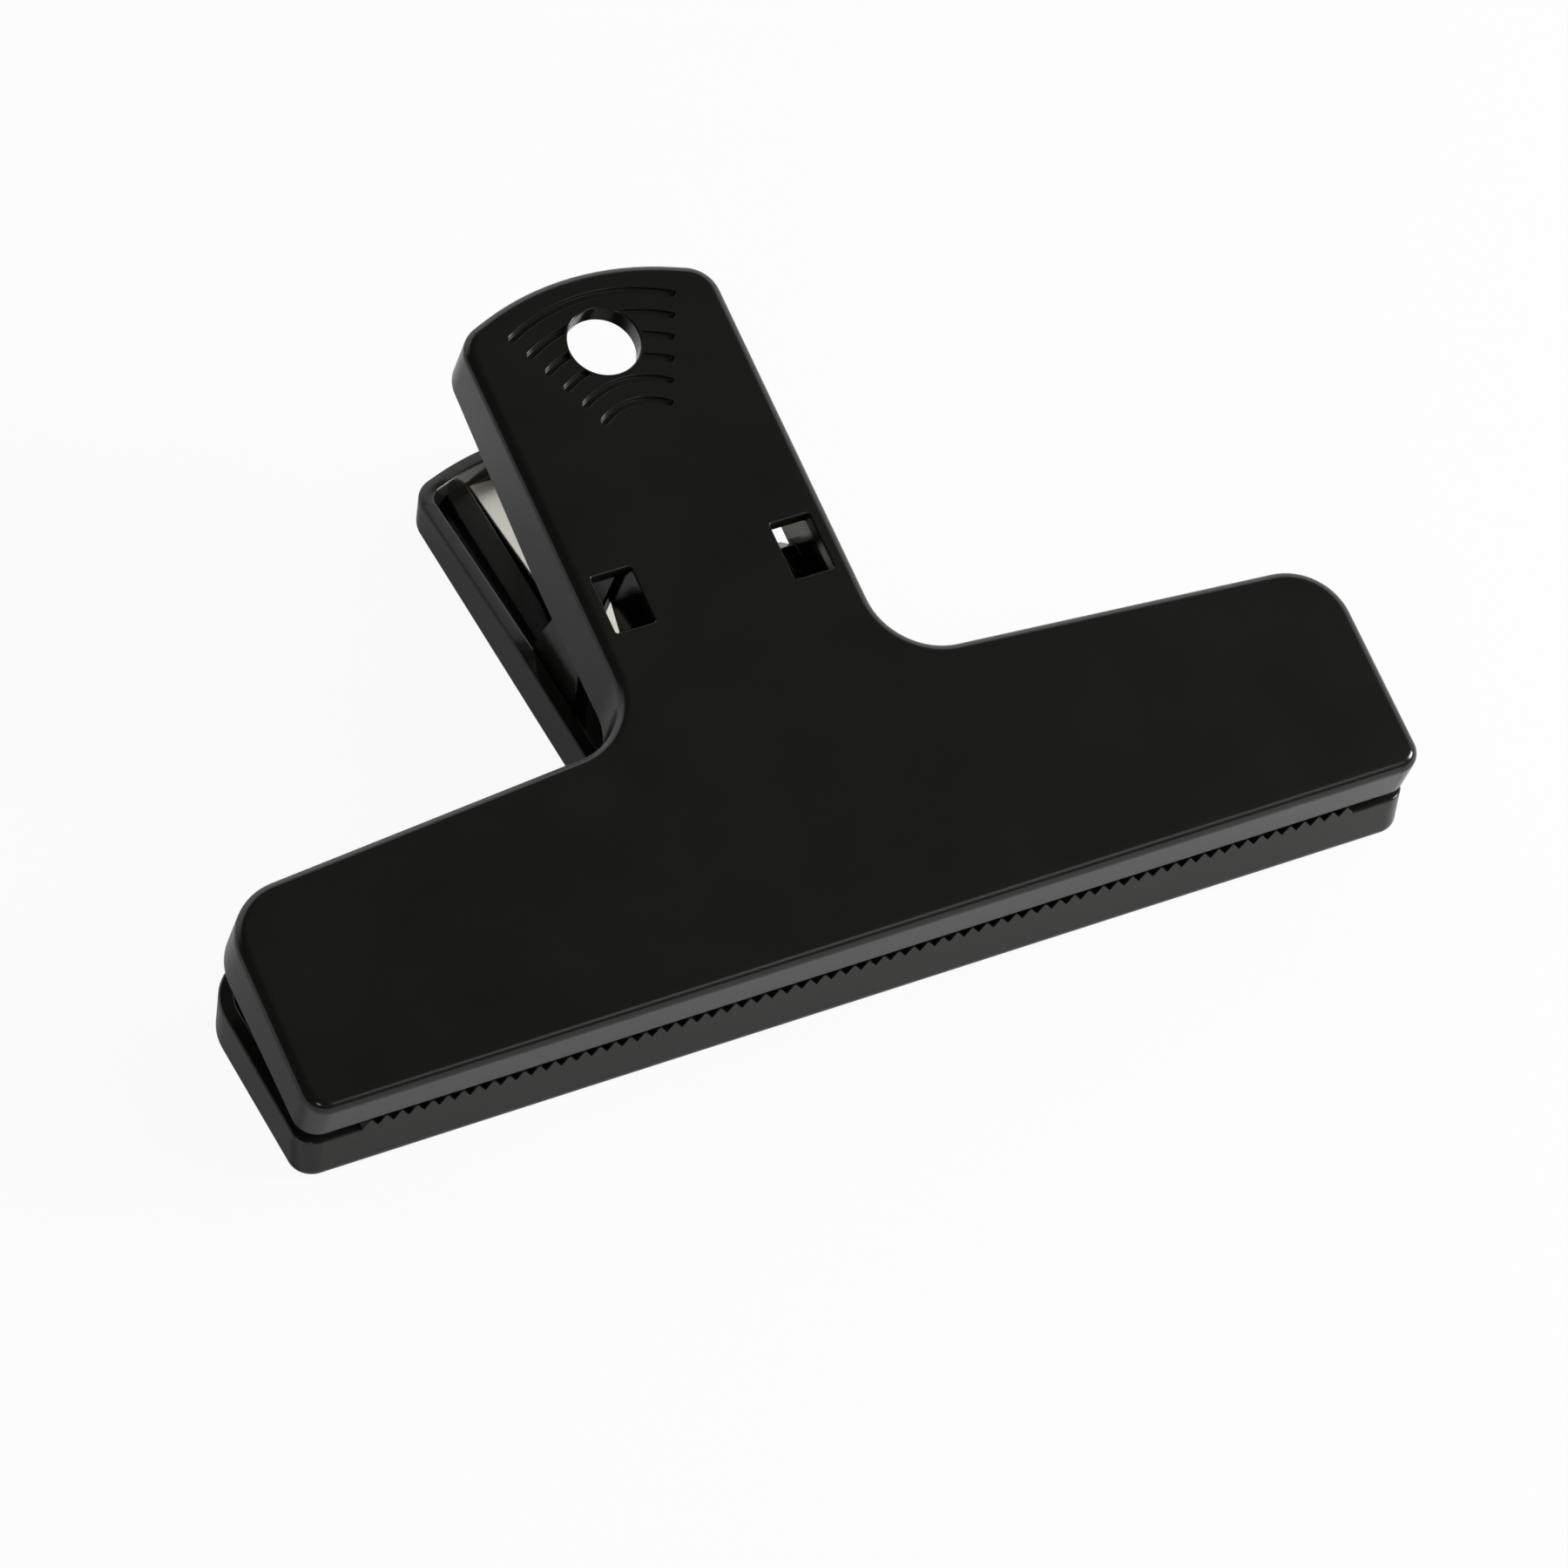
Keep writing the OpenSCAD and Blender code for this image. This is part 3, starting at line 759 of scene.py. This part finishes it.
def pale_floor():
    """Floor that looks white to the camera and, in part, in reflections, and keeps the object's shadow."""
    material = bpy.data.materials.new("pale_floor")
    material.use_nodes = True
    tree = material.node_tree
    shader = tree.nodes["Principled BSDF"]
    shader.inputs["Base Color"].default_value = (FLOOR_GREY, FLOOR_GREY, FLOOR_GREY, 1)
    shader.inputs["Roughness"].default_value = FLOOR_ROUGHNESS
    shader.inputs["Specular IOR Level"].default_value = 0
    glow = tree.nodes.new("ShaderNodeEmission")
    path = tree.nodes.new("ShaderNodeLightPath")
    total = None
    for ray, amount in FLOOR_WHITE:
        share = tree.nodes.new("ShaderNodeMath")
        share.operation = "MULTIPLY_ADD"
        share.inputs[1].default_value = amount
        share.inputs[2].default_value = 0
        tree.links.new(path.outputs[ray], share.inputs[0])
        if total:
            tree.links.new(total, share.inputs[2])
        total = share.outputs[0]
    mix = tree.nodes.new("ShaderNodeMixShader")
    tree.links.new(total, mix.inputs[0])
    tree.links.new(shader.outputs[0], mix.inputs[1])
    tree.links.new(glow.outputs[0], mix.inputs[2])
    tree.links.new(mix.outputs[0], tree.nodes["Material Output"].inputs["Surface"])
    return material


def surroundings():
    """World with a white backdrop behind and to the right, under a dark ceiling; the camera sees white."""
    world = bpy.data.worlds.new("studio")
    world.use_nodes = True
    tree = world.node_tree

    def edge(value, start, end, low, high):
        step = tree.nodes.new("ShaderNodeMapRange")
        step.interpolation_type = "SMOOTHSTEP"
        for name, number in (("From Min", start), ("From Max", end), ("To Min", low), ("To Max", high)):
            step.inputs[name].default_value = number
        tree.links.new(value, step.inputs["Value"])
        return step.outputs[0]

    def combined(operation, one, other):
        both = tree.nodes.new("ShaderNodeMath")
        both.operation = operation
        tree.links.new(one, both.inputs[0])
        tree.links.new(other, both.inputs[1])
        return both.outputs[0]

    place = tree.nodes.new("ShaderNodeTexCoord").outputs["Generated"]
    height = tree.nodes.new("ShaderNodeSeparateXYZ")
    tree.links.new(place, height.inputs[0])
    toward = tree.nodes.new("ShaderNodeVectorMath")
    toward.operation = "DOT_PRODUCT"
    toward.inputs[1].default_value = BACKDROP_SIDE
    tree.links.new(place, toward.inputs[0])
    z = height.outputs["Z"]
    under_top = edge(z, BACKDROP_TOP - BACKDROP_FADE, BACKDROP_TOP, 1, 0)
    behind = edge(toward.outputs["Value"], 0, BACKDROP_FULL, 0, 1)
    backdrop = combined("MULTIPLY", under_top, behind)
    room = combined("MAXIMUM", backdrop, edge(z, WALLS_END, CEILING_START, WALLS, CEILING))
    path = tree.nodes.new("ShaderNodeLightPath")
    direct = combined("MAXIMUM", path.outputs["Is Camera Ray"], path.outputs["Is Transmission Ray"])
    seen = combined("MAXIMUM", room, direct)
    tree.links.new(seen, tree.nodes["Background"].inputs["Color"])
    return world


def studio():
    """Floor, surroundings and soft lamps."""
    scene = bpy.context.scene
    scene.view_settings.view_transform = "Standard"
    bm = bmesh.new()
    bmesh.ops.create_grid(bm, x_segments=1, y_segments=1, size=FLOOR_HALF)
    floor = mesh_object(bm, "floor")
    floor.location.z = -FLOOR_DROP
    floor.data.materials.append(pale_floor())
    scene.world = surroundings()
    for name, place, size, watts, mirrored in LAMPS:
        light = bpy.data.lights.new(name, "AREA")
        light.size = size
        light.energy = watts
        lamp = bpy.data.objects.new(name, light)
        lamp.location = place
        lamp.visible_glossy = mirrored
        lamp.rotation_euler = (-Vector(place)).to_track_quat("-Z", "Y").to_euler()
        scene.collection.objects.link(lamp)


def camera():
    place = Vector(CAMERA_PLACE) * MM
    angles = (CAMERA_AZIMUTH, CAMERA_ELEVATION, CAMERA_ROLL)
    azimuth, elevation, roll = (math.radians(angle) for angle in angles)
    data = bpy.data.cameras.new("camera")
    data.sensor_width = SENSOR_W
    data.lens = LENS
    data.clip_start = CLIP_START
    data.clip_end = CLIP_END
    made = bpy.data.objects.new("camera", data)
    turn = Matrix.Rotation(azimuth, 4, "Z") @ Matrix.Rotation(math.pi / 2 - elevation, 4, "X")
    made.matrix_world = Matrix.Translation(place) @ turn @ Matrix.Rotation(roll, 4, "Z")
    bpy.context.scene.collection.objects.link(made)
    bpy.context.scene.camera = made


plastic = black_plastic()
steel = plated_steel()
ferrite = sintered_ferrite()

upper = finished(upper_lever(), TO_UPPER, plastic)
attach(upper, "upper")
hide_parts("upper_lever")

lower = finished(lower_lever(), TO_LOWER, plastic)
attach(lower, "lower")
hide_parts("lower_lever")

# The strip is set in place in its shut shape, with its bend in front of the hinge axis.
spring = finished(leaf_spring(), TO_LOWER, steel)
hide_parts("leaf_spring")
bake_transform(spring)

for name in ("magnet_left", "magnet_right"):
    node = frame["nodes"][name]
    node.data.materials.clear()
    node.data.materials.append(ferrite)
    edges = node.modifiers.new("edges", "BEVEL")
    edges.width = MAGNET_EDGE * MM
    edges.segments = BEVEL_SEGMENTS
    edges.angle_limit = BEVEL_ANGLE
    node.modifiers.new("normals", "WEIGHTED_NORMAL")

studio()
camera()
